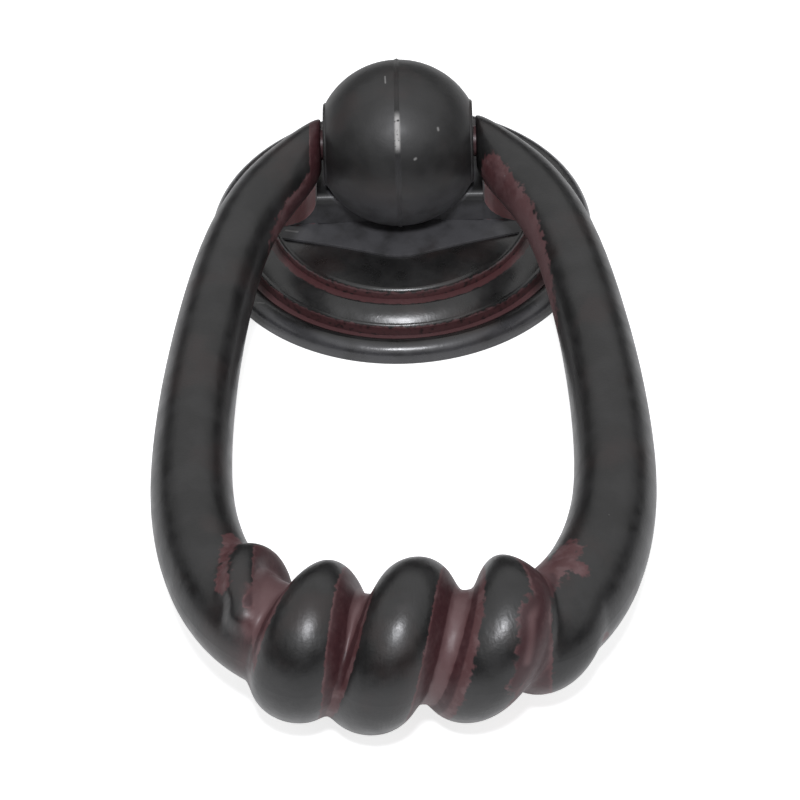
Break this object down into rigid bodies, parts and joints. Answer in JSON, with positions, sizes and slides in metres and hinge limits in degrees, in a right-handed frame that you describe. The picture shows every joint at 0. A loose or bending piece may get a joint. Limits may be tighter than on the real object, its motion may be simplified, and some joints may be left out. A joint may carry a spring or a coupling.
{
  "type": "ring pull handle",
  "caption": "Ring pull: a cast ring with a wrapped coil grip hinged on a ball post, on a round stepped rosette, held by a screw from behind.",
  "frame": {"origin": "centre of the mounting face, on the axis of the screw hole", "axes": "+Z out of the drawer front along the screw axis, +X along the pivot axis, ring folded down towards -Y"},
  "size_m": [0.0458, 0.0907, 0.0203],
  "materials": {
    "rosette_bronze": "satin",
    "post_bronze": "satin",
    "ring_bronze": "satin"
  },
  "bodies": {
    "base": {"rosette": "rosette_bronze", "ball_post": "post_bronze"},
    "ring": {"ring": "ring_bronze"}
  },
  "joints": [
    {"name": "ring_swing", "type": "hinge", "parent": "base", "child": "ring", "pos_m": [0, 0, 0.012], "axis": [-1, 0, 0], "range_deg": [0, 187.4]}
  ]
}
